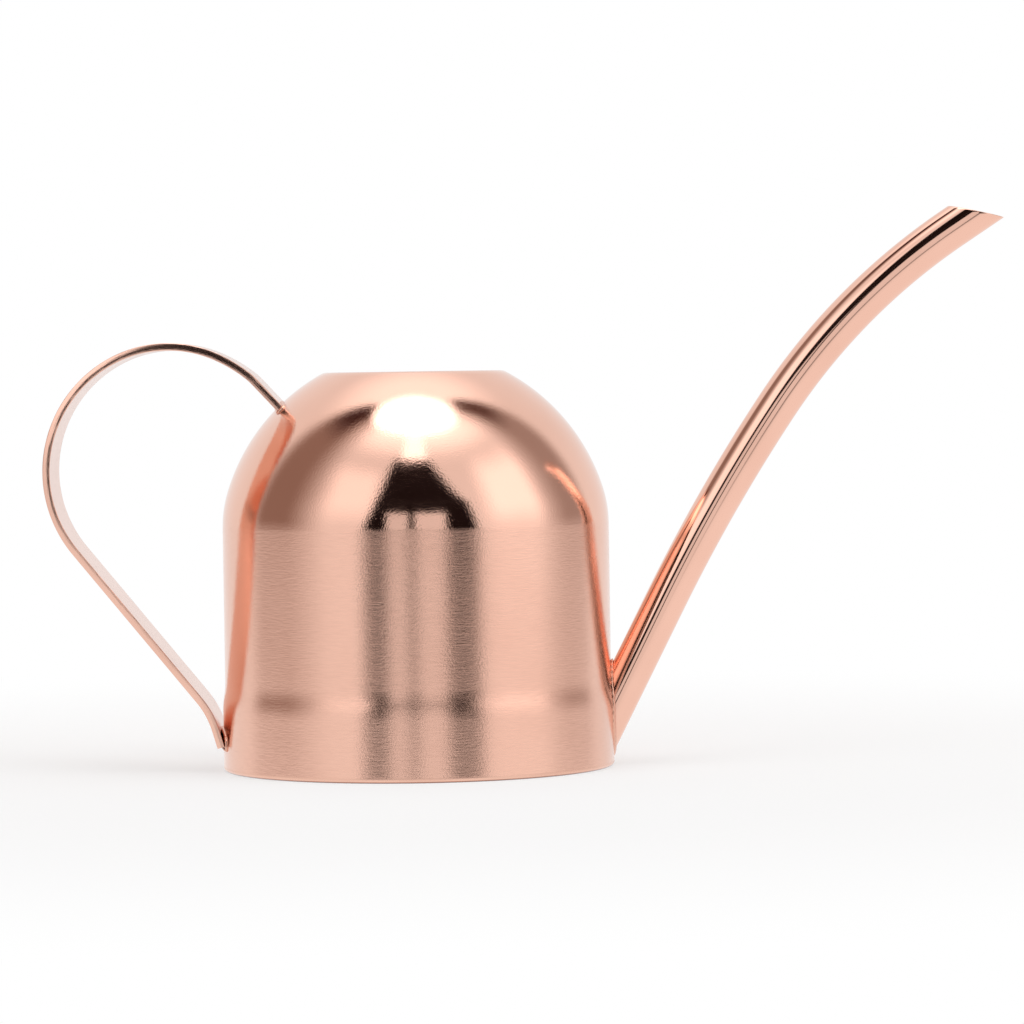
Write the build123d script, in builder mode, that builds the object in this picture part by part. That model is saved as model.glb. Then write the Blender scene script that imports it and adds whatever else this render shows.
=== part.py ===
import os
from math import acos, atan, cos, degrees, radians, sin, tan

from build123d import *

# A one-litre indoor watering can in thin plated steel sheet. The wall and the dome are
# one drawn shell, a shallow base pan is welded into its skirt, a bent tube makes the
# spout and a bent flat strip makes the handle. The origin is at the centre of the base,
# +Z is up, the spout points to +X and the handle to -X. All sizes are in millimetres.

# Drawn shell
sheet = 0.6                # thickness of the shell's sheet
wall_radius = 56.6         # outside of the straight wall
skirt_step = 0.7           # the skirt stands out from the wall by this much
skirt_height = 17.6        # top of the skirt above the base
flare_height = 8.8         # the skirt blends into the wall over this height
shoulder_height = 71.0     # top of the straight wall
shoulder_bend_radius = 35.1
shoulder_turn = 17.1       # degrees turned by the tight shoulder bend
dome_radius = 58.9         # long arc from the shoulder to the mouth
mouth_radius = 21.3        # clear opening for filling
crown_radius = 4.0         # outside of the sheet where it rolls over at the mouth
lip_drop = 3.5             # straight part of the lip inside the mouth

# Base pan
pan_sheet = 0.8
pan_fit = 0.05             # radial clearance between the pan's rim and the skirt
pan_corner = 1.6           # outside bend of the pan's rim
pan_rim = 2.4              # height of the rim
rest_width = 5.0           # flat ring that the can stands on
pan_recess = 1.5           # the middle of the base is pressed up by this much
recess_bend = 1.5
seam_height = 1.5          # the skirt's lower edge, with the seam bead below it
seam_corner = 1.2          # rounding of the bead at the outer bottom edge
seam_land = 0.5            # width of the bead's flat underside

# Spout
spout_radius = 6.0         # outside of the tube
spout_wall = 0.6
spout_foot_height = 3.7384    # lowest point of the tube's root on the skirt
spout_rise = 63.1          # degrees above horizontal at the root
spout_run = 34.4           # straight length above the root
spout_bends = ((519.0, 7.3), (187.0, 22.4))    # radius, degrees turned down
spout_tip_run = 8.6        # straight length up to the middle of the cut end
spout_tip_slope = 12.5     # the cut end falls outwards by this angle

# Handle strip
strap_width = 28.0
strap_thickness = 2.15
strap_edge = 0.3           # rounding of the strip's long edges
foot_height = 7.4          # middle of the strip's lower end
foot_rise = 106.4          # direction of the strip at its lower end, degrees from +X
foot_run = 5.4
foot_bend = (25.5, 22.6)   # radius, degrees turned away from the wall
loop_bends = ((1.0, 99.2), (0.945, 54.7), (1.205, 14.0), (0.407, 8.4))    # share, degrees
top_angle = 46.4           # where the strip meets the dome, degrees up from the dome's centre
top_run = 9.8              # straight length above the dome
top_overlap = 1.3          # the square-cut end enters the dome's outline by this much

# Joints by welding
root_gap = 0.1             # a welded end stands this far off the surface it is welded to
bead = 1.1                 # width and height of the beads round the spout and the strip

skirt_radius = wall_radius + skirt_step
deep = 3 * spout_radius    # reach of the trimming solids past what they trim


def along(angle, length=1.0):
    """The vector of this length at this angle from +X towards +Z."""
    return Vector(length * cos(radians(angle)), length * sin(radians(angle)))


# The dome's arcs, as centres and angles in the half plane of radius and height
shoulder_centre = Vector(wall_radius - shoulder_bend_radius, shoulder_height)
dome_centre = shoulder_centre + along(shoulder_turn, shoulder_bend_radius - dome_radius)
crown_reach = (mouth_radius + crown_radius - dome_centre.X) / (dome_radius - crown_radius)
dome_end = degrees(acos(crown_reach))
crown_centre = dome_centre + along(dome_end, dome_radius - crown_radius)


def outside_line(foot, grow=0.0):
    """The shell's outside, grown evenly, from the height of its foot to the crown's top."""
    flare_turn = 2 * degrees(atan(skirt_step / flare_height))
    flare_radius = flare_height / 2 / sin(radians(flare_turn))
    blend_centre = Vector(wall_radius + flare_radius, skirt_height + flare_height)
    Line((skirt_radius + grow, foot), (skirt_radius + grow, skirt_height))
    CenterArc((skirt_radius - flare_radius, skirt_height), flare_radius + grow, 0, flare_turn)
    blend = CenterArc(blend_centre, flare_radius - grow, 180 + flare_turn, -flare_turn)
    Line(blend @ 1, (wall_radius + grow, shoulder_height))
    CenterArc(shoulder_centre, shoulder_bend_radius + grow, 0, shoulder_turn)
    CenterArc(dome_centre, dome_radius + grow, shoulder_turn, dome_end - shoulder_turn)
    return CenterArc(crown_centre, crown_radius + grow, dome_end, 90 - dome_end)


def outside_solid(grow):
    """The can's outside as a solid without spout or handle, grown evenly, for trimming."""
    with BuildPart() as outside:
        with BuildSketch(Plane.XZ):
            with BuildLine():
                crown = outside_line(-deep, grow)
                Polyline(crown @ 1, (0, (crown @ 1).Y), (0, -deep), (skirt_radius + grow, -deep))
            make_face()
        revolve(axis=Axis.Z)
    return outside.part


body_outline = outside_solid(0)
welded_outline = outside_solid(root_gap)
bead_outline = outside_solid(bead)

# Spout axis at the root, in the XZ plane, where it crosses the skirt's outside
spout_root_height = spout_foot_height + spout_radius / cos(radians(spout_rise))
spout_root = Plane(origin=(skirt_radius, 0, spout_root_height),
                   x_dir=(0, 1, 0),
                   z_dir=(cos(radians(spout_rise)), 0, sin(radians(spout_rise))))
root_reach = spout_radius * tan(radians(spout_rise)) + 2 * spout_wall
bore_radius = spout_radius - spout_wall


# ---- body_shell: skirt, wall, dome and rolled lip in one drawn sheet ----
with BuildPart() as body_shell:
    with BuildSketch(Plane.XZ):
        with BuildLine():
            outside_line(seam_height)
            roll = CenterArc(crown_centre, crown_radius, 90, 90)
            Line(roll @ 1, roll @ 1 - Vector(0, lip_drop))
            offset(amount=sheet, side=Side.LEFT)
        make_face()
    revolve(axis=Axis.Z)
    with BuildSketch(spout_root):
        Circle(bore_radius)
    extrude(amount=root_reach, both=True, mode=Mode.SUBTRACT)

# ---- base_pan: pressed disc with a rest ring and a short rim inside the skirt ----
pan_radius = skirt_radius - sheet - pan_fit
rest_outer = pan_radius - pan_corner
rest_inner = rest_outer - rest_width
with BuildPart() as base_pan:
    with BuildSketch(Plane.XZ):
        with BuildLine():
            FilletPolyline(
                (0, pan_recess),
                (rest_inner - 2 * recess_bend, pan_recess),
                (rest_inner - recess_bend / 2, 0),
                (pan_radius, 0),
                (pan_radius, pan_rim),
                radius=(recess_bend, recess_bend, pan_corner),
            )
            offset(amount=pan_sheet, side=Side.LEFT)
        make_face()
    revolve(axis=Axis.Z)

# ---- base_weld: seam bead that joins the skirt's edge to the pan's corner ----
pan_bend_centre = Vector(rest_outer, pan_corner)
seam_angle = degrees(acos((pan_corner - seam_height) / pan_corner)) - 90
land_outer = skirt_radius - seam_corner
land_inner = land_outer - seam_land
land_angle = -degrees(acos((land_inner - rest_outer) / pan_corner))
with BuildPart() as base_weld:
    with BuildSketch(Plane.XZ):
        with BuildLine():
            inner = CenterArc(pan_bend_centre, pan_corner, land_angle, seam_angle - land_angle)
            Line(inner @ 0, (land_inner, 0))
            Line((land_inner, 0), (land_outer, 0))
            corner = CenterArc((land_outer, seam_corner), seam_corner, -90, 90)
            Line(corner @ 1, (skirt_radius, seam_height))
            Line((skirt_radius, seam_height), inner @ 1)
        make_face()
    revolve(axis=Axis.Z)

# ---- spout_tube: coped to the wall at its root and cut off at a slant ----
with BuildPart() as spout_tube:
    with BuildLine(Plane.XZ) as spout_line:
        root_end = spout_root.origin - spout_root.z_dir * root_reach
        piece = Line(root_end, spout_root.origin + spout_root.z_dir * spout_run)
        for bend_radius, turn in spout_bends:
            piece = JernArc(piece @ 1, piece % 1, bend_radius, -turn)
        tip_middle = piece @ 1 + (piece % 1) * spout_tip_run
        Line(piece @ 1, tip_middle + (piece % 1) * 2 * spout_radius)
    with BuildSketch(Plane(origin=root_end, z_dir=spout_root.z_dir)):
        Circle(spout_radius)
        Circle(bore_radius, mode=Mode.SUBTRACT)
    sweep(path=spout_line.wires()[0])
    slope = radians(spout_tip_slope)
    tip_plane = Plane(origin=tip_middle, z_dir=(sin(slope), 0, cos(slope)))
    split(bisect_by=tip_plane, keep=Keep.BOTTOM)
    add(welded_outline, mode=Mode.SUBTRACT)

# ---- spout_weld: bead round the spout's root ----
with BuildPart() as spout_weld:
    with BuildSketch(spout_root):
        Circle(spout_radius + bead)
        Circle(spout_radius, mode=Mode.SUBTRACT)
    extrude(amount=root_reach + deep, both=True)
    add(bead_outline, mode=Mode.INTERSECT)
    add(body_outline, mode=Mode.SUBTRACT)

# The strip's centre line starts on the skirt and ends on the dome. Its grip length and
# the size of its loop follow from those two places and from the angles of its bends.


def bend_step(angle, radius, turn):
    """How far a bend carries the line that enters it at this angle, turning left."""
    side = 1 if turn > 0 else -1
    return along(angle - 90 * side, -radius) + along(angle - 90 * side + turn, radius)


foot = Vector(-skirt_radius, foot_height)
top = Vector(-dome_centre.X, dome_centre.Y) + along(180 - top_angle, dome_radius)
grip_angle = foot_rise + foot_bend[1]
loop_step = Vector(0, 0)
top_rise = grip_angle
for share, turn in loop_bends:
    loop_step += bend_step(top_rise, share, -turn)
    top_rise -= turn
left_over = top - foot - along(foot_rise, foot_run) - along(top_rise, top_run)
left_over -= bend_step(foot_rise, *foot_bend)
grip = along(grip_angle)
grip_run = left_over.cross(loop_step).Z / grip.cross(loop_step).Z
loop_radius = grip.cross(left_over).Z / grip.cross(loop_step).Z

# ---- the flat strip before its ends are coped ----
with BuildPart() as strap_blank:
    with BuildLine(Plane.XZ) as strap_line:
        piece = PolarLine((foot.X, foot.Y), foot_run, foot_rise)
        piece = JernArc(piece @ 1, piece % 1, *foot_bend)
        piece = Line(piece @ 1, piece @ 1 + (piece % 1) * grip_run)
        for share, turn in loop_bends:
            piece = JernArc(piece @ 1, piece % 1, share * loop_radius, -turn)
        Line(piece @ 1, piece @ 1 + (piece % 1) * (top_run + top_overlap))
    strap_path = strap_line.wires()[0]
    with BuildSketch(Plane(origin=strap_path @ 0, x_dir=(0, 1, 0), z_dir=strap_path % 0)):
        RectangleRounded(strap_width, strap_thickness, strap_edge)
    sweep(path=strap_path)

# ---- handle_strap: each end coped to the surface that it is welded to ----
with BuildPart() as handle_strap:
    add(strap_blank.part)
    add(welded_outline, mode=Mode.SUBTRACT)


def strap_weld(end, back):
    """A bead round one end of the strip: from just beyond its end, back along the strip."""
    with BuildPart() as weld:
        with BuildSketch(Plane(origin=end - back * bead, x_dir=(0, 1, 0), z_dir=back)):
            Rectangle(strap_width + 2 * bead, strap_thickness + 2 * bead)
        extrude(amount=deep)
        add(bead_outline, mode=Mode.INTERSECT)
        add(body_outline, mode=Mode.SUBTRACT)
        add(strap_blank.part, mode=Mode.SUBTRACT)
    return weld


# ---- handle_lower_weld and handle_upper_weld ----
handle_lower_weld = strap_weld(strap_path @ 0, strap_path % 0)
handle_upper_weld = strap_weld(strap_path @ 1, -(strap_path % 1))

pieces = {
    "body_shell": body_shell,
    "base_pan": base_pan,
    "base_weld": base_weld,
    "spout_tube": spout_tube,
    "spout_weld": spout_weld,
    "handle_strap": handle_strap,
    "handle_lower_weld": handle_lower_weld,
    "handle_upper_weld": handle_upper_weld,
}
os.makedirs("parts", exist_ok=True)
for name, piece in pieces.items():
    piece.part.label = name
    export_step(piece.part, f"parts/{name}.step")
mouth_height = crown_centre.Y + crown_radius
print(f"grip length {grip_run:.2f}, loop radius {loop_radius:.2f}")
print(f"mouth height {mouth_height:.2f}")
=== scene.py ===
import bpy
import numpy as np
from mathutils import Matrix, Vector


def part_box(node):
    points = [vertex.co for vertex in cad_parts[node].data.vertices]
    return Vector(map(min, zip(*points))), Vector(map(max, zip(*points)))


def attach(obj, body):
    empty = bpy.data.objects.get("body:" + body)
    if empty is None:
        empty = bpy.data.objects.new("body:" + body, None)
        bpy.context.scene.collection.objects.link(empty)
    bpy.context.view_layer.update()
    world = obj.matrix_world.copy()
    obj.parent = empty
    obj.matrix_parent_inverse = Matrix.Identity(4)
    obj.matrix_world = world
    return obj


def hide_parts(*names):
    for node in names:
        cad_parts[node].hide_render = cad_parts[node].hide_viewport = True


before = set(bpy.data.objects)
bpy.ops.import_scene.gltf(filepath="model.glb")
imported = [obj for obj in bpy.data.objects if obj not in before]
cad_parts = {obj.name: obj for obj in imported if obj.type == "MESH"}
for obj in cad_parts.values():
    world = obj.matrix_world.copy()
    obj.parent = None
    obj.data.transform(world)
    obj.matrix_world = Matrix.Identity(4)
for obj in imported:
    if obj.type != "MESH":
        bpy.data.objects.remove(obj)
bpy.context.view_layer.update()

mm = 0.001    # shapes are worked out in millimetres, and every mesh is stored in metres
halvings = 44           # narrows a search along a path down to the last digit
nearlyStraight = 1e-9   # radians of bend per millimetre below which a run is straight
mergeDistance = 0.002   # points closer than this become one
sharpAngle = 35         # degrees between faces above which their edge shows


# A node's box as its lowest and highest corners, from metres to millimetres.
def boxOf(node):
    return [np.array(corner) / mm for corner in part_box(node)]


shellLow, shellHigh = boxOf("body_shell")
tubeLow, tubeHigh = boxOf("spout_tube")
stripLow, stripHigh = boxOf("handle_strap")
panHigh = boxOf("base_pan")[1]
print("frame loaded:", len(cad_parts), "nodes")


# Points on an arc with the outward normal at each: the centre plus the radius times the
# cosine and sine of angles spread evenly from start to end. side is -1 in a hollow bend.
def arcRun(centre, radius, start, end, count, side=1):
    angle = np.radians(np.linspace(start, end, count))
    ray = np.stack([np.cos(angle), np.sin(angle)], axis=1)
    return np.array(centre) + radius * ray, side * ray


# Points spread evenly on a straight run, all with the normal to the right of its heading.
def straightRun(start, end, count):
    start, end = np.array(start, float), np.array(end, float)
    heading = (end - start) / np.linalg.norm(end - start)
    t = np.linspace(0, 1, count)[:, None]
    return start + t * (end - start), np.tile([heading[1], -heading[0]], (count, 1))


# Runs put end to end; the point that two runs share is kept once.
def joinRuns(runs):
    points = np.concatenate([runs[0][0]] + [run[0][1:] for run in runs[1:]])
    normals = np.concatenate([runs[0][1]] + [run[1][1:] for run in runs[1:]])
    return points, normals


# A line through corners, each rounded by an arc that touches both of its sides: the arc's
# ends lie radius times the tangent of half the turn away from the corner.
def roundedLine(corners, radii, arcCount, runCount):
    corners = [np.array(c, float) for c in corners]
    start, runs = corners[0], []
    for before, corner, after, radius in zip(corners, corners[1:], corners[2:], radii):
        a = (corner - before) / np.linalg.norm(corner - before)
        b = (after - corner) / np.linalg.norm(after - corner)
        turn = np.arctan2(a[0] * b[1] - a[1] * b[0], a @ b)
        back = radius * abs(np.tan(turn / 2))
        side = 1 if turn > 0 else -1
        first = corner - a * back
        runs.append(straightRun(start, first, runCount))
        rightOfA = np.array([a[1], -a[0]])
        centre = first - side * radius * rightOfA
        begin = np.degrees(np.arctan2(*(first - centre)[::-1]))
        runs.append(arcRun(centre, radius, begin, begin + np.degrees(turn), arcCount, side))
        start = corner + b * back
    runs.append(straightRun(start, corners[-1], runCount))
    return joinRuns(runs)


# A path of straight runs and arcs in the XZ plane. Each run is a length and a turn in
# degrees spread over it; it is kept with its own start, heading and bend per millimetre.
def layPath(start, heading, runs):
    place, angle, at, path = np.array(start, float), np.radians(heading), 0.0, []
    for length, turn in runs:
        bend = np.radians(turn) / length
        path.append((at, place, angle, bend))
        place = place + step(angle, bend, length)
        at, angle = at + length, angle + np.radians(turn)
    return path, at, place, angle


# How far a path moves over a length: along the heading if it is straight, and else round
# an arc, whose chord follows from the sines and cosines of its two headings.
def step(angle, bend, length):
    if abs(bend) < nearlyStraight:
        return np.multiply.outer(length, [np.cos(angle), np.sin(angle)])
    end = angle + bend * length
    chord = [np.sin(end) - np.sin(angle), np.cos(angle) - np.cos(end)]
    return np.stack(chord, axis=-1) / bend


# The place and heading at each distance s along a path. The first and last run go on
# straight or round past their ends.
def walkPath(path, s):
    place, heading = np.zeros(s.shape + (2,)), np.zeros(s.shape)
    for number, (at, start, angle, bend) in enumerate(path):
        here = s >= at if number else np.ones(s.shape, bool)
        place[here] = start + step(angle, bend, (s - at)[here])
        heading[here] = angle + bend * (s - at)[here]
    return place, heading


# A point beside a path: the path's place, moved off it in its own plane by out and
# sideways, along Y, by across.
def besidePath(path, s, out, across):
    place, heading = walkPath(path, s)
    x = place[..., 0] - out * np.sin(heading)
    z = place[..., 1] + out * np.cos(heading)
    return np.stack([x, np.broadcast_to(across, x.shape), z], axis=-1)


# The value of s between low and high where measure(s) turns from negative to positive,
# found by halving for a whole array at once.
def solveAlong(measure, low, high):
    for _ in range(halvings):
        middle = (low + high) / 2
        outside = measure(middle) > 0
        low, high = np.where(outside, low, middle), np.where(outside, middle, high)
    return (low + high) / 2


# A mesh over a grid of points, in millimetres, with a face between each four neighbours.
# The last row or column joins the first where they are closed. Its volume, the sum over the
# faces of the triple products of their corners, tells which way the faces point, and they
# are turned to point outwards. In the map "grain", u runs along the columns and v along
# the rows.
def gridPiece(name, grid, closeRows=True, closeColumns=True, merge=False):
    rows, columns = grid.shape[:2]
    i = np.arange(rows if closeRows else rows - 1)[:, None]
    j = np.arange(columns if closeColumns else columns - 1)[None, :]
    nextI, nextJ = (i + 1) % rows, (j + 1) % columns
    quads = np.stack([i * columns + j, i * columns + nextJ,
                      nextI * columns + nextJ, nextI * columns + j], axis=-1).reshape(-1, 4)
    u, v = np.broadcast_arrays(j / columns, i / rows)
    du, dv = 1 / columns, 1 / rows
    corners = np.stack([np.stack([u, v], -1), np.stack([u + du, v], -1),
                        np.stack([u + du, v + dv], -1), np.stack([u, v + dv], -1)], axis=-2)
    corners = corners.reshape(-1, 4, 2)
    points = grid.reshape(-1, 3) * mm
    a, b, c, d = (points[quads[:, k]] for k in range(4))
    volume = np.sum(np.cross(a, b) * c) + np.sum(np.cross(a, c) * d)
    if volume < 0:
        quads, corners = quads[:, ::-1], corners[:, ::-1]
    mesh = bpy.data.meshes.new(name)
    mesh.vertices.add(len(points))
    mesh.vertices.foreach_set("co", points.ravel())
    mesh.loops.add(quads.size)
    mesh.loops.foreach_set("vertex_index", quads.ravel())
    mesh.polygons.add(len(quads))
    mesh.polygons.foreach_set("loop_start", np.arange(len(quads)) * 4)
    mesh.update(calc_edges=True)
    uv = mesh.uv_layers.new(name="grain")
    uv.data.foreach_set("uv", corners.ravel())
    mesh.shade_smooth()
    piece = bpy.data.objects.new(name, mesh)
    bpy.context.scene.collection.objects.link(piece)
    if merge:
        mergeDoubles(piece)
    mesh.validate()
    return piece


# Points that share a place become one, which closes poles and folded ends.
def mergeDoubles(piece):
    finishWith(piece, piece.modifiers.new("merge", "WELD"),
               merge_threshold=mergeDistance * mm)


# Sets a modifier's values and makes its result the piece's own mesh.
def finishWith(piece, modifier, **values):
    for key, value in values.items():
        setattr(modifier, key, value)
    seen = piece.evaluated_get(bpy.context.evaluated_depsgraph_get())
    mesh = bpy.data.meshes.new_from_object(seen)
    piece.modifiers.clear()
    piece.data = mesh
    mesh.name = piece.name


# A profile of radius and height turned about Z: each point goes round at its own radius.
def turned(profile, count):
    angle = np.linspace(0, 2 * np.pi, count, endpoint=False)
    radius, height = profile[:, 0, None], profile[:, 1, None]
    return np.stack([radius * np.cos(angle), radius * np.sin(angle),
                     np.broadcast_to(height, (len(profile), count))], axis=-1)


# The closed outline of a bent sheet: the line, a half circle round its end, and the line
# again one sheet behind with every other point left out. Its start is cut off square.
def sheetOutline(points, normals, sheet, count=7):
    half = sheet / 2
    points = points.copy()
    endHeading = (points[-1] - points[-2]) / np.linalg.norm(points[-1] - points[-2])
    points[-1] -= half * endHeading
    angle = np.linspace(0, np.pi, count)[1:-1, None]
    endRound = points[-1] - half * normals[-1] + half * (
        np.cos(angle) * normals[-1] + np.sin(angle) * endHeading)
    behind = (points - sheet * normals)[::-1]
    behind = np.concatenate([behind[:-1:2], behind[-1:]])
    return np.concatenate([points, endRound, behind])


# A float on every point of a piece, for its material to read.
def paint(piece, name, values):
    layers = piece.data.attributes
    layer = layers.get(name) or layers.new(name, "FLOAT", "POINT")
    layer.data.foreach_set("value", np.asarray(values, np.float32).ravel())


# A piece's points as rows of x, y and z, from metres to millimetres.
def pointsOf(piece):
    flat = np.empty(len(piece.data.vertices) * 3, np.float32)
    piece.data.vertices.foreach_get("co", flat)
    return flat.reshape(-1, 3).astype(float) / mm


# How close each point is to a line of points: e to the power of minus its distance from the
# nearest of them over a reach, so 1 on the line.
def nearness(points, line, reach):
    nearest = np.full(len(points), np.inf)
    for place in line:
        nearest = np.minimum(nearest, np.sum((points - place) ** 2, axis=1))
    return np.exp(-np.sqrt(nearest) / reach)


shell = dict(
    sheet=0.6,
    skirtStep=0.7,          # the skirt stands out from the wall
    skirtHeight=17.6,
    flareHeight=8.8,
    shoulderHeight=71.0,
    shoulderRadius=35.1,
    shoulderTurn=17.1,      # degrees
    domeRadius=58.9,
    mouthRadius=21.3,
    crownRadius=4.0,
    lipDrop=3.5,
    columns=360,
    points=dict(skirt=14, flare=6, wall=30, shoulder=9, dome=36, crown=20, lip=4),
)
skirtRadius = shellHigh[0]
wallRadius = skirtRadius - shell["skirtStep"]
flareTurn = 2 * np.degrees(np.arctan(shell["skirtStep"] / shell["flareHeight"]))
flareRadius = shell["flareHeight"] / 2 / np.sin(np.radians(flareTurn))
flareTop = shell["skirtHeight"] + shell["flareHeight"]
shoulderCentre = np.array([wallRadius - shell["shoulderRadius"], shell["shoulderHeight"]])
lean = np.radians(shell["shoulderTurn"])
domeCentre = shoulderCentre + (shell["shoulderRadius"] - shell["domeRadius"]) * np.array(
    [np.cos(lean), np.sin(lean)])
crownReach = shell["mouthRadius"] + shell["crownRadius"] - domeCentre[0]
crownStep = shell["domeRadius"] - shell["crownRadius"]
domeEnd = np.degrees(np.arccos(crownReach / crownStep))
crownCentre = domeCentre + crownStep * np.array(
    [np.cos(np.radians(domeEnd)), np.sin(np.radians(domeEnd))])


# How far a point stands off the straight lower body: its distance from the axis less the
# outside radius at its height, which eases from the skirt to the wall over two arcs.
def offWall(point):
    halfFlare = shell["flareHeight"] / 2
    rise = np.clip(point[..., 2] - shell["skirtHeight"], 0, shell["flareHeight"])
    low = skirtRadius - flareRadius + np.sqrt(
        flareRadius ** 2 - np.minimum(rise, halfFlare) ** 2)
    left = np.minimum(shell["flareHeight"] - rise, halfFlare)
    high = wallRadius + flareRadius - np.sqrt(flareRadius ** 2 - left ** 2)
    radius = np.where(rise < halfFlare, low, high)
    return np.hypot(point[..., 0], point[..., 1]) - radius


# How far a point stands off the dome: its distance from the dome's centre in the half
# plane of radius and height, less the dome's own radius.
def offDome(point):
    radius = np.hypot(point[..., 0], point[..., 1])
    fromCentre = np.hypot(radius - domeCentre[0], point[..., 2] - domeCentre[1])
    return fromCentre - shell["domeRadius"]


# The shell's outside line from its foot up over the dome, round the rolled mouth and down
# the lip: each arc starts where the last one ends, at the same angle. The sheet lies
# behind it, and the whole outline is turned about Z.
def makeShell():
    foot = shellLow[2]
    flareStart = (skirtRadius - flareRadius, shell["skirtHeight"])
    flareFinish = (wallRadius + flareRadius, flareTop)
    lipTop = (shell["mouthRadius"], crownCentre[1])
    lipEnd = (shell["mouthRadius"], crownCentre[1] - shell["lipDrop"])
    turn, count = shell["shoulderTurn"], shell["points"]
    line, normals = joinRuns([
        straightRun((skirtRadius, foot), (skirtRadius, shell["skirtHeight"]),
                    count["skirt"]),
        arcRun(flareStart, flareRadius, 0, flareTurn, count["flare"]),
        arcRun(flareFinish, flareRadius, 180 + flareTurn, 180, count["flare"], -1),
        straightRun((wallRadius, flareTop), (wallRadius, shell["shoulderHeight"]),
                    count["wall"]),
        arcRun(shoulderCentre, shell["shoulderRadius"], 0, turn, count["shoulder"]),
        arcRun(domeCentre, shell["domeRadius"], turn, domeEnd, count["dome"]),
        arcRun(crownCentre, shell["crownRadius"], domeEnd, 180, count["crown"]),
        straightRun(lipTop, lipEnd, count["lip"]),
    ])
    outline = sheetOutline(line, normals, shell["sheet"])
    return gridPiece("bodyShell", turned(outline, shell["columns"]))


base = dict(
    sheet=0.8,
    corner=1.6,         # outside bend of the pan's rim
    restWidth=5.0,      # flat ring that the can stands on
    recess=1.5,         # the middle is pressed up
    recessBend=1.5,
    seamCorner=1.2,     # rounding at the outer bottom edge
    seamLand=0.5,       # the seam's flat foot
    columns=288,
    points=dict(bend=9, flat=9, corner=12, seam=8),
)


# The pan's line, from the middle of its pressed-up floor out along the ring that the can
# stands on, and up its rim, with the inner edge of the ring a bend's length further in.
def makePan():
    outer = panHigh[0]
    inner = outer - base["corner"] - base["restWidth"]
    corners = [(0, base["recess"]), (inner - 2 * base["recessBend"], base["recess"]),
               (inner - base["recessBend"] / 2, 0), (outer, 0), (outer, panHigh[2])]
    radii = (base["recessBend"], base["recessBend"], base["corner"])
    count = base["points"]
    line, normals = roundedLine(corners, radii, count["bend"], count["flat"])
    outline = sheetOutline(line, normals, base["sheet"])
    return gridPiece("basePan", turned(outline, base["columns"]), closeRows=False,
                     merge=True)


# The seam's section: round the outer corner, across its land and up the pan's bend. The
# bend's angles there are the arc cosines of a height or a reach over its radius.
def makeSeam():
    foot = shellLow[2]
    bendCentre = np.array([panHigh[0] - base["corner"], base["corner"]])
    landOuter = skirtRadius - base["seamCorner"]
    landInner = landOuter - base["seamLand"]
    upper = np.degrees(np.arccos((base["corner"] - foot) / base["corner"])) - 90
    lower = -np.degrees(np.arccos((landInner - bendCentre[0]) / base["corner"]))
    count = base["points"]
    outside = arcRun((landOuter, base["seamCorner"]), base["seamCorner"], 0, -90,
                     count["corner"])[0]
    against = arcRun(bendCentre, base["corner"], lower, upper, count["seam"])[0]
    outline = np.concatenate([[(skirtRadius, foot)], outside, [(landInner, 0)], against])
    return gridPiece("baseSeam", turned(outline, base["columns"]))


spout = dict(
    wall=0.6,
    rootHeight=17.0,        # the tube's axis crosses the skirt here
    rise=63.1,              # degrees above horizontal at the root
    run=34.4,
    bends=((519.0, 7.3), (187.0, 22.4)),    # radius, degrees turned down
    tipRun=8.6,
    tipSlope=12.5,          # degrees that the cut end falls outwards
    rootGap=0.1,            # the tube's end stands this far off the wall
    rootSearch=5,           # how many radii either side its cope is looked for
    tipSearch=2,            # and its slanted cut
    boreReach=4,            # the bore through the wall, in radii either way
    columns=96,
    rows=300,
    rimPoints=9,            # points round the half circle of the cut edge
    insideStep=3,           # the inside keeps every third row
)
spoutRadius = (tubeHigh[1] - tubeLow[1]) / 2
spoutRuns = [(spout["run"], 0.0)]
spoutRuns += [(radius * np.radians(turn), -turn) for radius, turn in spout["bends"]]
spoutRuns += [(spout["tipRun"], 0.0)]
spoutPath, spoutLength, tipMiddle, _ = layPath(
    (skirtRadius, spout["rootHeight"]), spout["rise"], spoutRuns)


# A point on the tube: s along its axis, turned by angle from its upper side.
def onTube(s, angle, radius):
    return besidePath(spoutPath, s, radius * np.cos(angle), radius * np.sin(angle))


# Where a line along the tube at this angle and radius stands a gap off the body.
def tubeRoot(angle, radius, gap):
    reach = spout["rootSearch"] * spoutRadius
    reach = np.full(np.broadcast(angle, radius, gap).shape, reach)
    return solveAlong(lambda s: offWall(onTube(s, angle, radius)) - gap, -reach, reach)


# Where a line along the tube reaches the slanted plane through the middle of its tip.
def tubeTip(angle, radius):
    slope = np.radians(spout["tipSlope"])
    reach = np.full(np.broadcast(angle, radius).shape, spout["tipSearch"] * spoutRadius)

    def above(s):
        point = onTube(s, angle, radius)
        across = (point[..., 0] - tipMiddle[0]) * np.sin(slope)
        return across + (point[..., 2] - tipMiddle[1]) * np.cos(slope)
    return solveAlong(above, spoutLength - reach, spoutLength + reach)


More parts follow.
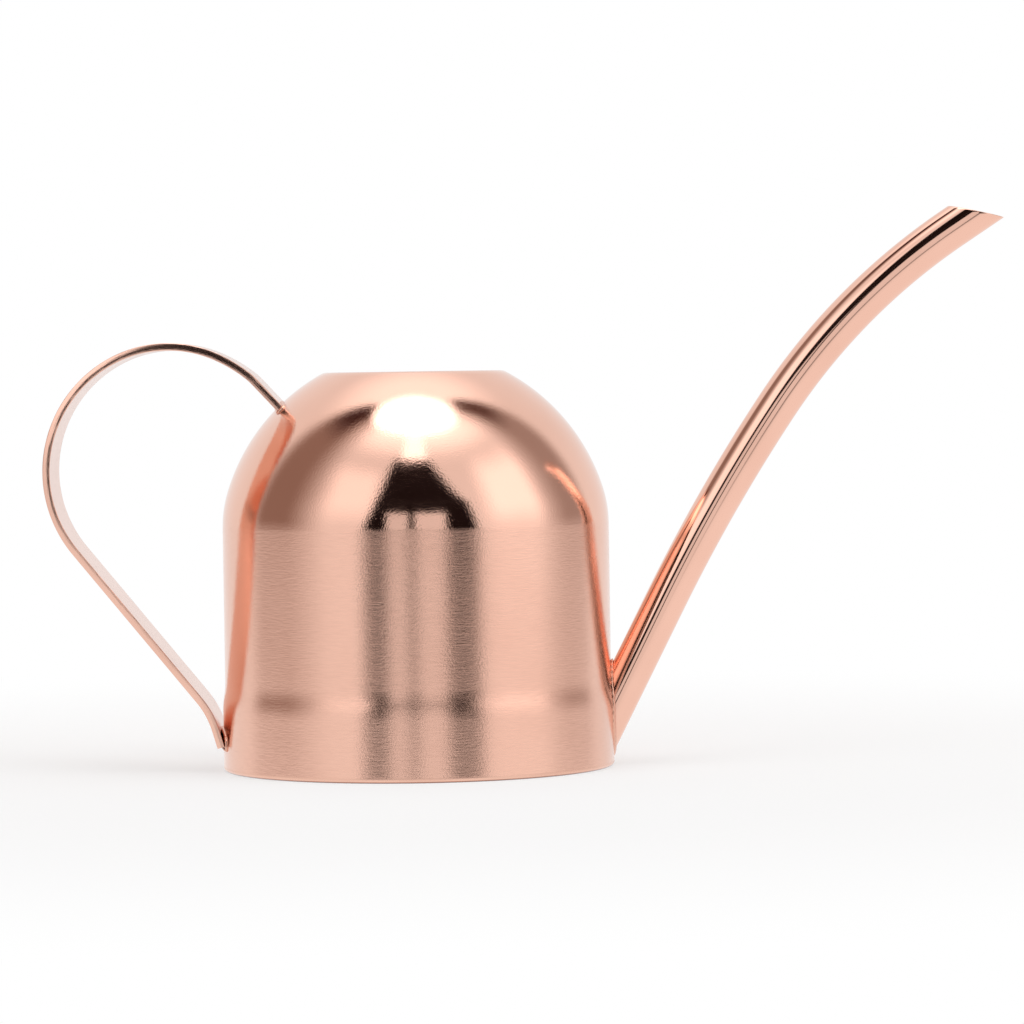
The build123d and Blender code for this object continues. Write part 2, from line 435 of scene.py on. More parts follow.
# The tube outside from root to tip, a half round over the cut edge, and back inside.
def makeSpout():
    angle = np.linspace(0, 2 * np.pi, spout["columns"], endpoint=False)[None, :]
    half = spout["wall"] / 2
    middle = spoutRadius - half
    t = np.linspace(0, 1, spout["rows"])[:, None]
    ends = {}
    for radius in (spoutRadius, spoutRadius - spout["wall"]):
        start = tubeRoot(angle, np.full_like(angle, radius), spout["rootGap"])
        ends[radius] = start, tubeTip(angle, np.full_like(angle, radius)) - half
    start, end = ends[spoutRadius]
    outside = onTube(start + (end - start) * t, angle, spoutRadius)
    turn = np.linspace(0, np.pi, spout["rimPoints"])[1:-1, None]
    rimRadius = middle + half * np.cos(turn) + 0 * angle
    rimEnd = tubeTip(angle, rimRadius) - half * (1 - np.sin(turn))
    rim = onTube(rimEnd, angle, rimRadius)
    start, end = ends[spoutRadius - spout["wall"]]
    inside = onTube(end + (start - end) * t[::spout["insideStep"]], angle,
                    spoutRadius - spout["wall"])
    return gridPiece("spoutTube", np.concatenate([outside, rim, inside]))


strap = dict(
    thickness=2.15,
    edge=0.2,               # rounding where an edge meets a broad face
    edgeLean=(5, 23),       # degrees that an edge leans out, at its inner and outer side
    footHeight=7.4,
    footRise=106.4,         # direction at the lower end, degrees from +X
    footRun=5.4,
    footBend=(25.5, 22.6),  # radius, degrees turned away from the body
    loopBends=((1.0, 99.2), (0.945, 54.7),      # share of the loop's radius, degrees
               (1.205, 14.0), (0.407, 8.4)),
    topAngle=46.4,          # degrees up from the dome's centre
    topRun=9.8,             # straight run that meets the dome there
    topOverlap=1.3,         # and goes on past it before it is cut
    gap=0.1,                # the strip's ends stand this far off the body
    search=12.0,            # how far either side of its two ends a cut is looked for
    searchPast=5.0,         # and past the upper end
    rows=230,
    capShares=(0.93, 0.8, 0.5, 0.25, 0.0),      # an end's thickness, drawn in step by step
    points=dict(face=26, inner=7, edge=9, outer=5),
)
stripWidth = stripHigh[1] - stripLow[1]


# A vector of length one at an angle from +X towards +Z: its cosine and its sine.
def unit(angle):
    return np.array([np.cos(np.radians(angle)), np.sin(np.radians(angle))])


# The strip's path. The grip's length and the size of the loop are the two unknowns that
# carry it from its foot on the skirt to its place on the dome, so they solve two equations.
def layStrip():
    foot = np.array([-skirtRadius, strap["footHeight"]])
    top = np.array([-domeCentre[0], domeCentre[1]])
    top = top + shell["domeRadius"] * unit(180 - strap["topAngle"])
    bendRadius, bendTurn = strap["footBend"]
    footRuns = [(strap["footRun"], 0.0), (bendRadius * np.radians(bendTurn), bendTurn)]
    _, _, gripStart, gripAngle = layPath(foot, strap["footRise"], footRuns)
    loop = [(share * np.radians(turn), -turn) for share, turn in strap["loopBends"]]
    _, _, loopStep, topAngle = layPath((0, 0), np.degrees(gripAngle), loop)
    grip = unit(np.degrees(gripAngle))
    left = top - gripStart - strap["topRun"] * unit(np.degrees(topAngle))
    gripRun, loopRadius = np.linalg.solve(np.stack([grip, loopStep], axis=1), left)
    runs = footRuns + [(gripRun, 0.0)]
    runs += [(length * loopRadius, turn) for length, turn in loop]
    runs += [(strap["topRun"] + strap["topOverlap"], 0.0)]
    return layPath(foot, strap["footRise"], runs)[:2]


stripPath, stripLength = layStrip()


# The strip's section as a loop of places across (Y) and out (through its thickness), with
# the outward normal at each: two broad faces and two rolled edges. An edge is one slow arc
# between its two leans, and small arcs touch it and the faces. The slow arc's radius less
# the small one's is the distance between the small arcs' centres over the difference of
# the sines of the leans.
def stripSection():
    halfWide, halfThick = stripWidth / 2, strap["thickness"] / 2
    r, (low, high), count = strap["edge"], strap["edgeLean"], strap["points"]
    thick = halfThick - r
    span = 2 * thick / (np.sin(np.radians(high)) - np.sin(np.radians(low)))
    wideIn = halfWide - r
    wideOut = wideIn - span * (np.cos(np.radians(low)) - np.cos(np.radians(high)))
    middle = wideIn - span * np.cos(np.radians(low))
    centre = -thick - span * np.sin(np.radians(low))
    points, normals = joinRuns([
        straightRun((-wideIn, -halfThick), (wideIn, -halfThick), count["face"]),
        arcRun((wideIn, -thick), r, -90, low, count["inner"]),
        arcRun((middle, centre), span + r, low, high, count["edge"]),
        arcRun((wideOut, thick), r, high, 90, count["outer"]),
        straightRun((wideOut, halfThick), (-wideOut, halfThick), count["face"]),
        arcRun((-wideOut, thick), r, 90, 180 - high, count["outer"]),
        arcRun((-middle, centre), span + r, 180 - high, 180 - low, count["edge"]),
        arcRun((-wideIn, -thick), r, 180 - low, 270, count["inner"]),
    ])
    return points[:-1], normals[:-1]


# Where a line along the strip leaves the skirt by a gap, or its square end if that is
# further on.
def stripFoot(across, out, gap):
    reach = np.full(np.broadcast(across, out, gap).shape, strap["search"])
    found = solveAlong(lambda s: offWall(besidePath(stripPath, s, out, across)) - gap,
                       -reach, reach)
    return np.maximum(found, 0)


# Where a line along the strip comes within a gap of the dome.
def stripTop(across, out, gap):
    start = np.full(np.broadcast(across, out, gap).shape, stripLength - strap["search"])
    return solveAlong(lambda s: gap - offDome(besidePath(stripPath, s, out, across)),
                      start, start + strap["search"] + strap["searchPast"])


# The strip between its two coped ends; each end is drawn in to its middle line and closed.
def makeStrip():
    section, _ = stripSection()
    across, out = section[None, :, 0], section[None, :, 1]
    t = np.linspace(0, 1, strap["rows"])[:, None]
    shrink = np.array(strap["capShares"])[:, None]
    start = stripFoot(across, out, strap["gap"])
    end = np.minimum(stripTop(across, out, strap["gap"]), stripLength)
    body = besidePath(stripPath, start + (end - start) * t, out, across)
    footOut = out * shrink[::-1]
    footEnd = stripFoot(across, footOut, strap["gap"])
    footCap = besidePath(stripPath, footEnd, footOut, across)
    topOut = out * shrink
    topEnd = np.minimum(stripTop(across, topOut, strap["gap"]), stripLength)
    topCap = besidePath(stripPath, topEnd, topOut, across)
    grid = np.concatenate([footCap, body, topCap])
    return gridPiece("handleStrip", grid, closeRows=False, merge=True)


weld = dict(
    spoutSize=0.65,     # height of a bead on both of the pieces that it joins
    stripSize=0.6,
    round=dict(spout=80, upper=62, lower=66),   # length round each joint
    spacing=0.35,       # length from one section to the next
    ripple=0.06,        # share by which the bead swells and shrinks
    ripplePitch=2.1,    # length from one ripple to the next
    drift=(1.3, 3),     # how far the ripples wander, and how often round the joint
    slowSwell=(0.8, 5, 1),      # share, waves round the joint, and where they start
    sink=0.12,          # depth of its hidden side inside them
    turn=(-4, 94),      # degrees of its round, a little past both faces
    sides=11,           # points round its open side; the last row is its hidden corner
    archRise=5.2,       # the arch at the strip's foot
    archFlats=(0.45, 0.8),      # below 1, its sides are upright and its top is broad
    archStep=1e-3,      # radians ahead at which the arch's direction is taken
)


# A bead along a joint: a quarter round between two faces, whose size swells with a slow
# and a quick wave. place(away, height) gives points a distance from the one face and a
# height above the other; the last corner of the section lies inside both.
def makeBead(name, place, length, size):
    count = int(length / weld["spacing"])
    along = np.linspace(0, 2 * np.pi, count, endpoint=False)[None, :]
    waves = round(length / weld["ripplePitch"])
    far, often = weld["drift"]
    share, slow, begin = weld["slowSwell"]
    swell = np.cos(waves * along + far * np.sin(often * along))
    swell = swell + share * np.sin(slow * along + begin)
    size = size * (1 + weld["ripple"] * swell)
    turn = np.radians(np.linspace(*weld["turn"], weld["sides"]))[:, None]
    away = size * np.cos(turn)
    height = size * np.sin(turn)
    hidden = np.full_like(size, -weld["sink"])
    away = np.concatenate([away, hidden])
    height = np.concatenate([height, hidden])
    return gridPiece(name, place(np.broadcast_to(along, away.shape), away, height))


# Beside the tube at its root: away from the tube's side, and above the body.
def besideTube(along, away, height):
    radius = spoutRadius + away
    return onTube(tubeRoot(along, radius, height), along, radius)


# Round the strip's upper end: away from its sides, and above the dome. The share of the way
# round is looked up in the section's running length.
def besideStripTop(along, away, height):
    section, normals = stripSection()
    lengths = np.linalg.norm(np.roll(section, -1, axis=0) - section, axis=1)
    at = np.concatenate([[0], np.cumsum(lengths)]) / lengths.sum() * 2 * np.pi
    looped = np.concatenate([section, section[:1]])
    facing = np.concatenate([normals, normals[:1]])
    across, out, acrossNormal, outNormal = (
        np.interp(along, at, values)
        for values in (looped[:, 0], looped[:, 1], facing[:, 0], facing[:, 1]))
    across, out = across + away * acrossNormal, out + away * outNormal
    return besidePath(stripPath, stripTop(across, out, height), out, across)


# The arch round the strip's foot: its place across is half the width times a low power of
# the angle's cosine, and its height above the foot is the rise times a power of its sine.
def footArch(along):
    wide, high = weld["archFlats"]
    footZ = strap["footHeight"] - strap["thickness"] / 4
    across = stripWidth / 2 * np.sign(np.cos(along)) * np.abs(np.cos(along)) ** wide
    return across, footZ + weld["archRise"] * np.maximum(np.sin(along), 0) ** high


# Round the strip's foot, on the skirt: an arch whose top is where the inner face leaves
# the skirt, and whose base is just under the strip's square end. A point is moved off the
# arch at right angles to its direction, and wrapped round the skirt.
def besideStripFoot(along, away, height):
    across, level = footArch(along)
    nextAcross, nextLevel = footArch(along + weld["archStep"])
    run = np.stack([nextAcross - across, nextLevel - level], axis=-1)
    run = run / np.maximum(np.linalg.norm(run, axis=-1, keepdims=True), 1e-9)
    across, level = across + away * run[..., 1], level - away * run[..., 0]
    turnedBy = across / skirtRadius
    radius = skirtRadius + height
    return np.stack([-radius * np.cos(turnedBy), radius * np.sin(turnedBy), level], axis=-1)


# Cuts a round bore through a piece along a line in the XZ plane. The cutter is a closed
# cylinder: two rings at the bore's radius, and one at radius nought at each end.
def cutBore(piece, centre, rise, radius, reach):
    t = np.array([0, 0, 1, 1])[:, None]
    ring = np.array([0, 1, 1, 0])[:, None] * radius
    angle = np.linspace(0, 2 * np.pi, spout["columns"], endpoint=False)[None, :]
    path, _, _, _ = layPath(centre, rise, [(1.0, 0.0)])
    grid = besidePath(path, (t - 0.5) * 2 * reach + 0 * angle, ring * np.cos(angle),
                      ring * np.sin(angle))
    cutter = gridPiece("bore", grid, closeRows=False, merge=True)
    modifier = piece.modifiers.new("bore", "BOOLEAN")
    finishWith(piece, modifier, operation="DIFFERENCE", solver="EXACT", object=cutter)
    bpy.data.objects.remove(cutter)


bodyShell = makeShell()
cutBore(bodyShell, (skirtRadius, spout["rootHeight"]), spout["rise"],
        spoutRadius - spout["wall"], spout["boreReach"] * spoutRadius)
basePan = makePan()
baseSeam = makeSeam()
print("shell and base made")
spoutTube = makeSpout()
handleStrip = makeStrip()
print("spout and handle made")
around = weld["round"]
spoutBead = makeBead("spoutBead", besideTube, around["spout"], weld["spoutSize"])
upperBead = makeBead("handleUpperBead", besideStripTop, around["upper"], weld["stripSize"])
lowerBead = makeBead("handleLowerBead", besideStripFoot, around["lower"], weld["stripSize"])
print("beads made")

standsFor = {
    bodyShell: ("body_shell", "body_metal"),
    basePan: ("base_pan", "base_metal"),
    baseSeam: ("base_weld", "weld_metal"),
    spoutTube: ("spout_tube", "spout_metal"),
    spoutBead: ("spout_weld", "weld_metal"),
    handleStrip: ("handle_strap", "strap_metal"),
    upperBead: ("handle_upper_weld", "weld_metal"),
    lowerBead: ("handle_lower_weld", "weld_metal"),
}
for piece, (node, slotName) in standsFor.items():
    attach(piece, "root")
    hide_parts(node)
    piece.data.set_sharp_from_angle(angle=np.radians(sharpAngle))

# What each surface carries: scorching beside the beads, painted shade that darkens the seam
# towards its foot, wear along exposed edges, and the share of brushing, which fades out
# over the shoulder.
traces = dict(
    scorchReach=1.3,        # scorching fades to a third over this distance
    seamPaintedShade=(1.6, 0.4),  # strength of the painted shade at the seam's foot, and the height it fades over
    brushFade=1.5,          # brushing fades out over this height above the wall
    crownWorn=0.8,          # share of the crown's radius above which it is worn
    edgeStart=0.9,          # the strip's rolled edge starts this far in from its side
    edgeBlend=0.2,          # and is blended into the broad face over this width
    edgeWorn=0.5,
)
joints = np.concatenate([pointsOf(bead).reshape(weld["sides"] + 1, -1, 3)[-1, ::2]
                         for bead in (spoutBead, upperBead, lowerBead)])
for piece in standsFor:
    paint(piece, "scorchedAndShaded", nearness(pointsOf(piece), joints, traces["scorchReach"]))
places = pointsOf(bodyShell)
aboveWall = places[:, 2] - shell["shoulderHeight"]
paint(bodyShell, "brushed", np.clip(1 - aboveWall / traces["brushFade"], 0, 1))
aboveCrown = places[:, 2] - crownCentre[1]
crownGap = np.hypot(np.hypot(places[:, 0], places[:, 1]) - crownCentre[0], aboveCrown)
onCrown = aboveCrown > traces["crownWorn"] * shell["crownRadius"]
paint(bodyShell, "worn", onCrown * np.exp(-np.abs(crownGap - shell["crownRadius"])))
places = pointsOf(handleStrip)
pastFace = np.abs(places[:, 1]) - stripWidth / 2 + traces["edgeStart"]
rolled = np.clip(pastFace / traces["edgeBlend"], 0, 1)
paint(handleStrip, "brushed", 1 - rolled)
paint(handleStrip, "worn", traces["edgeWorn"] * rolled)
# Painted shade on the seam: darker towards its foot, standing in for the contact shadow
# there.
places = pointsOf(baseSeam)
strength, fade = traces["seamPaintedShade"]
paint(baseSeam, "scorchedAndShaded", np.clip(strength - places[:, 2] / fade, 0, 1))
for piece in (basePan, baseSeam, spoutTube, spoutBead, upperBead, lowerBead):
    places = pointsOf(piece)
    paint(piece, "brushed", np.zeros(len(places)))
    paint(piece, "worn", np.zeros(len(places)))


# Adds nodes to the emptied tree of one material or world.
class Wiring:
    def __init__(self, owner):
        owner.use_nodes = True
        self.tree = owner.node_tree
        self.tree.nodes.clear()

    # A node with its settings and sockets: an underscore in a socket's name stands for a
    # space, and _0 for the first socket.
    def add(self, kind, settings=None, **sockets):
        node = self.tree.nodes.new(kind)
        for key, value in (settings or {}).items():
            setattr(node, key, value)
        for key, value in sockets.items():
            self.put(node, key.replace("_", " ").strip(), value)
        return node

    # Sets a socket, or joins another node's output to it, which is its first one where the
    # node itself is given.
    def put(self, node, key, value):
        socket = node.inputs[int(key) if key.isdigit() else key]
        if isinstance(value, bpy.types.NodeSocket):
            self.tree.links.new(value, socket)
        elif isinstance(value, bpy.types.Node):
            self.tree.links.new(value.outputs[0], socket)
        else:
            socket.default_value = value

    # One arithmetic step on up to three values. MULTIPLY_ADD is a times b plus c.
    def math(self, operation, a, b=0.0, c=None):
        node = self.add("ShaderNodeMath", {"operation": operation}, _0=a, _1=b)
        if c is not None:
            self.put(node, "2", c)
        return node.outputs[0]

    # A soft step: low up to start, high from end on, and between them 3 t squared less
    # 2 t cubed of the way, where t is the share of the way from start to end.
    def ease(self, value, start, end, low=0.0, high=1.0):
        node = self.add("ShaderNodeMapRange", {"interpolation_type": "SMOOTHSTEP"})
        for key, amount in zip(("Value", "From Min", "From Max", "To Min", "To Max"),
                               (value, start, end, low, high)):
            self.put(node, key, amount)
        return node.outputs[0]

    # Colour a times one less the factor, plus colour b times the factor.
    def mix(self, factor, a, b):
        node = self.add("ShaderNodeMix", {"data_type": "RGBA"})
        for key, value in (("0", factor), ("6", a), ("7", b)):
            self.put(node, key, value)
        return node.outputs[2]

    # The value that was painted on the points under this name.
    def attribute(self, name):
        return self.add("ShaderNodeAttribute", {"attribute_name": name}).outputs["Fac"]


looks = {
    "brushedCopper": dict(
        colour=(0.90, 0.545, 0.425), dark=(0.72, 0.40, 0.30),
        scorchAndShadeTint=(0.40, 0.13, 0.09), rough=0.17, smoothRough=0.055,
        anisotropy=1.0, turn=0.25, streak=(280, 280, 2100), streakDepth=4.2e-5,
        sparkle=1900, sparkleDepth=2.2e-5, cloud=22),
    "satinCopper": dict(
        colour=(0.88, 0.53, 0.41), dark=(0.62, 0.34, 0.25),
        # this near-black tint paints shade on the seam's foot
        scorchAndShadeTint=(0.16, 0.05, 0.03), rough=0.3, smoothRough=0.26,
        anisotropy=0.4, turn=0.25, streak=(300, 300, 300), streakDepth=2e-6,
        sparkle=2600, sparkleDepth=3.0e-6, cloud=30),
    "mirrorCopper": dict(
        colour=(0.92, 0.56, 0.44), dark=(0.80, 0.45, 0.34),
        scorchAndShadeTint=(0.45, 0.15, 0.10), rough=0.1, smoothRough=0.07,
        anisotropy=0.0, turn=0.0, streak=(200, 200, 200), streakDepth=1e-6,
        sparkle=900, sparkleDepth=0.5e-6, cloud=30),
    "stripCopper": dict(
        colour=(0.88, 0.53, 0.415), dark=(0.66, 0.37, 0.28),
        scorchAndShadeTint=(0.38, 0.12, 0.08), rough=0.15, smoothRough=0.15,
        anisotropy=0.5, turn=0.25, streak=(260, 3200, 260), streakDepth=1.5e-5,
        sparkle=1700, sparkleDepth=3.0e-6, cloud=30,
        edgeLines=(40, 30, 1), edgeDepth=4e-5),
    "beadCopper": dict(
        colour=(0.84, 0.48, 0.36), dark=(0.45, 0.20, 0.14),
        scorchAndShadeTint=(0.70, 0.36, 0.26), rough=0.3, smoothRough=0.24,
        anisotropy=0.0, turn=0.0, streak=(500, 500, 500), streakDepth=8e-6,
        sparkle=2600, sparkleDepth=4.0e-6, cloud=120),
}
plating = dict(
    clouds=(0.35, 0.75, 0.0, 0.28),     # soft steps: where they start and end, low and high
    lines=(0.3, 0.8, 0.0, 0.22),
    # how far the tint covers: scorching beside the beads, and painted shade at the seam's
    # foot
    scorchAndShadeStep=(0.3, 1.0, 0.0, 0.85),
    wornTint=(0.95, 0.66, 0.55),
    wornShare=0.35,
    streakRough=0.10,       # what streaks, clouds and wear add to the roughness
    cloudRough=0.05,
    wornRough=0.05,
    smoothRelief=0.15,      # share of the streaks' relief where nothing is brushed
)


# Plated metal: the colour drifts in soft clouds, darkens and reddens with scorching beside
# the beads, darkens further as painted shade at the seam's foot, and lightens on worn
# edges. Its roughness runs from smooth to brushed with the brushing, and streaks, clouds
# and wear add to it. Fine sparkle and the streaks stand up as relief.
def copperFinish(name, look):
    material = bpy.data.materials.new(name)
    w = Wiring(material)
    place = w.add("ShaderNodeTexCoord").outputs["Object"]
    brushed, worn, scorchedAndShaded = (w.attribute(key) for key in ("brushed", "worn", "scorchedAndShaded"))
    stretched = w.add("ShaderNodeMapping", Vector=place, Scale=look["streak"])
    streak = w.add("ShaderNodeTexNoise", Vector=stretched, Scale=1.0, Detail=4.0,
                   Roughness=0.65).outputs["Fac"]
    sparkle = w.add("ShaderNodeTexNoise", Vector=place, Scale=float(look["sparkle"]),
                    Detail=2.0).outputs["Fac"]
    cloud = w.add("ShaderNodeTexNoise", Vector=place, Scale=float(look["cloud"]),
                  Detail=3.0).outputs["Fac"]
    cloudy = w.ease(cloud, *plating["clouds"])
    colour = w.mix(cloudy, (*look["colour"], 1), (*look["dark"], 1))
    lined = w.math("MULTIPLY", w.ease(streak, *plating["lines"]), brushed)
    colour = w.mix(lined, colour, (*look["dark"], 1))
    # scorching beside the beads, and painted shade towards the seam's foot
    scorchAndShadeShare = w.ease(scorchedAndShaded, *plating["scorchAndShadeStep"])
    colour = w.mix(scorchAndShadeShare, colour, (*look["scorchAndShadeTint"], 1))
    rubbed = w.math("MULTIPLY", worn, plating["wornShare"])
    colour = w.mix(rubbed, colour, (*plating["wornTint"], 1))
    rough = w.ease(brushed, 0.0, 1.0, look["smoothRough"], look["rough"])
    for pattern, key in ((streak, "streakRough"), (cloud, "cloudRough")):
        rough = w.math("MULTIPLY_ADD", w.math("SUBTRACT", pattern, 0.5), plating[key],
                       rough)
    rough = w.math("MULTIPLY_ADD", worn, plating["wornRough"], rough)
    streakShare = w.ease(brushed, 0.0, 1.0, plating["smoothRelief"], 1.0)
    streakRelief = w.math("MULTIPLY", streak, streakShare)
    fine = w.add("ShaderNodeBump", Strength=1.0, Distance=look["sparkleDepth"],
                 Height=sparkle)
    if "edgeLines" in look:
        grid = w.add("ShaderNodeUVMap", {"uv_map": "grain"})
        drawn = w.add("ShaderNodeMapping", Vector=grid, Scale=look["edgeLines"])
        lines = w.add("ShaderNodeTexNoise", Vector=drawn, Scale=1.0,
                      Detail=2.0).outputs["Fac"]
        onEdge = w.math("MULTIPLY", lines, w.math("SUBTRACT", 1.0, brushed))
        fine = w.add("ShaderNodeBump", Strength=1.0, Distance=look["edgeDepth"],
                     Height=onEdge, Normal=fine)
    relief = w.add("ShaderNodeBump", Strength=1.0, Distance=look["streakDepth"],
                   Height=streakRelief, Normal=fine)
    grainLine = w.add("ShaderNodeTangent", {"direction_type": "UV_MAP", "uv_map": "grain"})
    surface = w.add("ShaderNodeBsdfPrincipled", Base_Color=colour, Metallic=1.0,
                    Roughness=rough, Anisotropic=look["anisotropy"],
                    Anisotropic_Rotation=look["turn"], Normal=relief, Tangent=grainLine)
    w.add("ShaderNodeOutputMaterial", Surface=surface)
    return material


finishes = {name: copperFinish(name, look) for name, look in looks.items()}
wears = {
    bodyShell: "brushedCopper", basePan: "satinCopper", baseSeam: "satinCopper",
    spoutTube: "mirrorCopper", handleStrip: "stripCopper",
    spoutBead: "beadCopper", upperBead: "beadCopper", lowerBead: "beadCopper",
}
for piece, finish in wears.items():
    piece.data.materials.clear()
    piece.data.materials.append(finishes[finish])
print("finishes made")


# Each card is a patch of the tent, in degrees: azimuth from the front towards +X, and
# height above the horizon. left and right are its edges at the horizon, and the leans move
# them with height. soft gives each edge's softness: left, right, low, high. Later cards
# lie over earlier ones.
tent = dict(
    radius=1500.0,
    centreHeight=60.0,
    rings=65,
    columns=128,
    wall=0.92,
    highWall=1.42,
    brightening=(46.0, 74.0),   # heights between which the wall becomes the high wall
    floorGlow=0.98,
    darkening=(-7.0, -24.0),    # and the floor's glow takes over below it
    lamp=dict(middle=(0.01, -0.135), half=(0.33, 0.27), soft=0.12, tone=2.8, lowest=0.05),
    cards=[
        dict(left=-58, right=-24, low=12, high=44,
             soft=(11, 6, 16, 6), tone=(1.35, 1.33, 1.33)),
        dict(left=46, right=84, low=6, high=46,
             soft=(9, 9, 16, 9), tone=(1.55, 1.5, 1.5)),
        dict(left=-52, right=76, low=60, high=90,
             soft=(16, 22, 8, 1), tone=(1.66, 1.66, 1.66)),
        dict(left=-109, right=-66, low=-2, high=74,
             soft=(9, 17, 8, 4), tone=(0.30, 0.22, 0.19)),
        dict(left=-106, right=-80, low=57, high=74,
             soft=(5, 9, 8, 4), tone=(0.05, 0.02, 0.02)),
        dict(left=90, right=122, low=-2, high=73,
             soft=(15, 7, 8, 4), tone=(0.40, 0.34, 0.32)),
        dict(left=99, right=120, low=55, high=73,
             soft=(8, 5, 8, 4), tone=(0.10, 0.05, 0.04)),
        dict(left=-9, right=11, low=52, high=90,
             soft=(4, 4, 3, 1), tone=(2.2, 2.2, 2.2)),
        dict(left=-31, right=50, leftLean=0.29, rightLean=-0.71, low=24, high=52.3,
             soft=(2, 2.5, 2, 2), tone=(0.012, 0.008, 0.008)),
        dict(left=-29.5, right=38, leftLean=0.26, rightLean=-0.2, low=-9, high=26,
             soft=(2.5, 2.5, 4, 2), tone=(0.012, 0.008, 0.008)),
        dict(left=-15.5, right=-3, low=-24, high=15.5,
             soft=(1.5, 1.5, 2, 1.5), tone=(0.80, 0.80, 0.80)),
        dict(left=1, right=19, low=-24, high=15.5,
             soft=(1.5, 1.5, 2, 1.5), tone=(0.86, 0.86, 0.86)),
    ],
)


# The tent is a sphere that only mirrors and matt surfaces see, painted by the direction
# from its middle. A card's cover is the product of four soft steps, one over each of its
# edges. The lamp is an oval on a level plane overhead: its cover is one soft step over the
# distance from its middle, measured in its half sizes.
def lightTent():
    turn = np.linspace(-np.pi / 2, np.pi / 2, tent["rings"])
    profile = tent["radius"] * np.stack([np.cos(turn), np.sin(turn)], axis=1)
    profile[:, 1] += tent["centreHeight"]
    shroud = gridPiece("tent", turned(profile, tent["columns"]), closeRows=False,
                       merge=True)
    material = bpy.data.materials.new("tentLight")
    w = Wiring(material)
    place = w.add("ShaderNodeTexCoord").outputs["Object"]
    fromMiddle = w.add("ShaderNodeVectorMath", {"operation": "SUBTRACT"}, _0=place,
                       _1=(0, 0, tent["centreHeight"] * mm))
    direction = w.add("ShaderNodeVectorMath", {"operation": "NORMALIZE"}, _0=fromMiddle)
    x, y, z = w.add("ShaderNodeSeparateXYZ", Vector=direction).outputs
    degrees = 180 / np.pi
    azimuth = w.math("ARCTAN2", x, w.math("MULTIPLY", y, -1.0))
    azimuth = w.math("MULTIPLY", azimuth, degrees)
    height = w.math("MULTIPLY", w.math("ARCSINE", z), degrees)
    rising = w.ease(height, *tent["brightening"])
    colour = w.mix(rising, (*[tent["wall"]] * 3, 1), (*[tent["highWall"]] * 3, 1))
    for card in tent["cards"]:
        cover = 1.0
        sides = (("left", azimuth, 1), ("right", azimuth, -1), ("low", height, 1),
                 ("high", height, -1))
        for (key, measure, side), soft in zip(sides, card["soft"]):
            if key == "high" and card[key] >= 90:
                continue
            leaned = w.math("MULTIPLY_ADD", height, -card.get(key + "Lean", 0.0), measure)
            edge = w.ease(w.math("MULTIPLY", leaned, side),
                          side * card[key] - soft, side * card[key] + soft)
            cover = w.math("MULTIPLY", cover, edge)
        colour = w.mix(cover, colour, (*card["tone"], 1))
    lamp = tent["lamp"]
    above = w.math("MAXIMUM", z, lamp["lowest"])
    off = 0.0
    for along, middle, half in zip((x, y), lamp["middle"], lamp["half"]):
        gap = w.math("SUBTRACT", w.math("DIVIDE", along, above), middle)
        gap = w.math("DIVIDE", gap, half)
        off = w.math("MULTIPLY_ADD", gap, gap, off)
    lit = w.ease(w.math("SQRT", off), 1 + lamp["soft"], 1 - lamp["soft"])
    colour = w.mix(lit, colour, (*[lamp["tone"]] * 3, 1))
    below = w.ease(height, *tent["darkening"])
    colour = w.mix(below, colour, (*[tent["floorGlow"]] * 3, 1))
    glow = w.add("ShaderNodeEmission", Color=colour, Strength=1.0)
    w.add("ShaderNodeOutputMaterial", Surface=glow)
    shroud.data.materials.append(material)
    shroud.visible_camera = False


# What the camera sees past the tent is plain white, which lights nothing itself.
def whiteBackdrop():
    world = bpy.data.worlds.new("backdrop")
    bpy.context.scene.world = world
    w = Wiring(world)
    seen = w.add("ShaderNodeLightPath").outputs["Is Camera Ray"]
    glow = w.add("ShaderNodeBackground", Color=(1, 1, 1, 1), Strength=seen)
    w.add("ShaderNodeOutputWorld", Surface=glow)


ground = dict(
    radii=(0, 60, 150, 400, 1000, 2500, 6000),
    columns=96,
    tones=(0.93, 0.90),     # the two greys of its fine specks
    speck=900.0,
    speckStep=(0.3, 0.8),
    rough=0.6,
    fade=(0.16, 0.45, 0.6, 1.0),    # metres from the axis, and the glow's share there
)


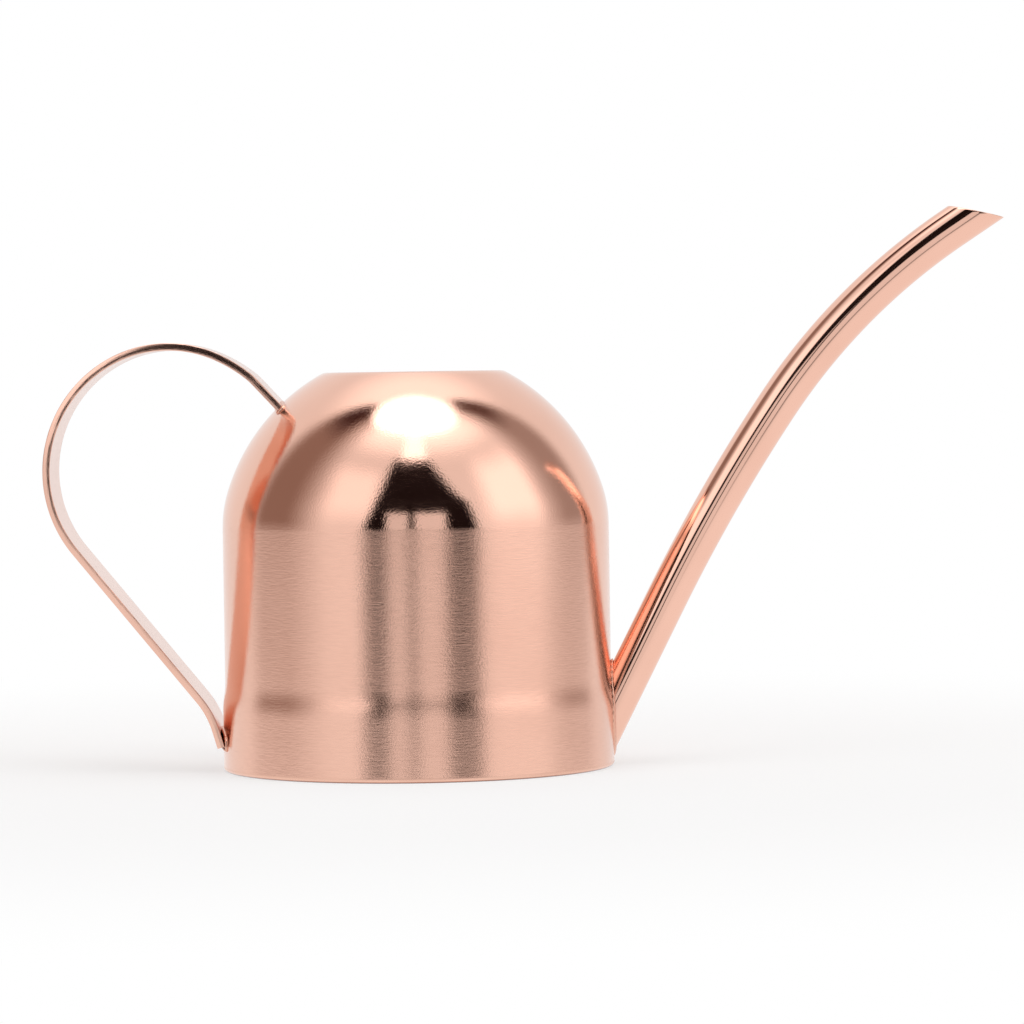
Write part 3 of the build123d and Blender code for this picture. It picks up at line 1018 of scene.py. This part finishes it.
# A round floor, flat rings of radius times cosine and sine; past the can it fades into a
# plain glow as bright as the backdrop.
def paleFloor():
    radii = np.array(ground["radii"], float)
    grid = turned(np.stack([radii, np.zeros_like(radii)], axis=1), ground["columns"])
    floor = gridPiece("floor", grid, closeRows=False, merge=True)
    material = bpy.data.materials.new("paleFloor")
    w = Wiring(material)
    place = w.add("ShaderNodeTexCoord").outputs["Object"]
    distance = w.add("ShaderNodeVectorMath", {"operation": "LENGTH"},
                     _0=place).outputs["Value"]
    speck = w.add("ShaderNodeTexNoise", Vector=place, Scale=ground["speck"],
                  Detail=2.0).outputs["Fac"]
    light, dark = ((tone, tone, tone, 1) for tone in ground["tones"])
    tone = w.mix(w.ease(speck, *ground["speckStep"]), light, dark)
    matt = w.add("ShaderNodeBsdfDiffuse", Color=tone, Roughness=ground["rough"])
    glow = w.add("ShaderNodeEmission", Color=(1, 1, 1, 1), Strength=1.0)
    fade = w.ease(distance, *ground["fade"])
    blend = w.add("ShaderNodeMixShader", _0=fade, _1=matt, _2=glow)
    w.add("ShaderNodeOutputMaterial", Surface=blend)
    floor.data.materials.append(material)
    floor.visible_glossy = False


camera = dict(
    distance=1365.4,    # millimetres from the can's axis
    height=116.1,
    around=1.5,         # degrees towards +X
    pitch=1.75,         # degrees down
    pan=1.186,          # degrees to the right
    roll=-0.858,
    lens=163.71,
    sensor=36.0,
    near=0.01,          # metres
    far=50.0,
)


# The camera stands off the axis and looks level towards it; the view is then panned,
# tipped down and rolled about its own axis.
def makeCamera():
    turn, pan, pitch, roll = (np.radians(camera[key])
                              for key in ("around", "pan", "pitch", "roll"))
    place = Vector((camera["distance"] * np.sin(turn), -camera["distance"] * np.cos(turn),
                    camera["height"])) * mm
    level = np.cos(pitch)
    forward = Vector((np.sin(pan - turn) * level, np.cos(pan - turn) * level,
                      -np.sin(pitch)))
    right = forward.cross(Vector((0, 0, 1))).normalized()
    up = right.cross(forward)
    rightRolled = right * np.cos(roll) + up * np.sin(roll)
    upRolled = up * np.cos(roll) - right * np.sin(roll)
    data = bpy.data.cameras.new("camera")
    data.sensor_width = camera["sensor"]
    data.lens = camera["lens"]
    data.clip_start, data.clip_end = camera["near"], camera["far"]
    seat = bpy.data.objects.new("camera", data)
    bpy.context.scene.collection.objects.link(seat)
    seat.matrix_world = Matrix((
        (rightRolled.x, upRolled.x, -forward.x, place.x),
        (rightRolled.y, upRolled.y, -forward.y, place.y),
        (rightRolled.z, upRolled.z, -forward.z, place.z),
        (0, 0, 0, 1)))
    bpy.context.scene.camera = seat


lightTent()
whiteBackdrop()
paleFloor()
makeCamera()
bpy.context.scene.view_settings.view_transform = "Standard"
print("tent, floor and camera made")
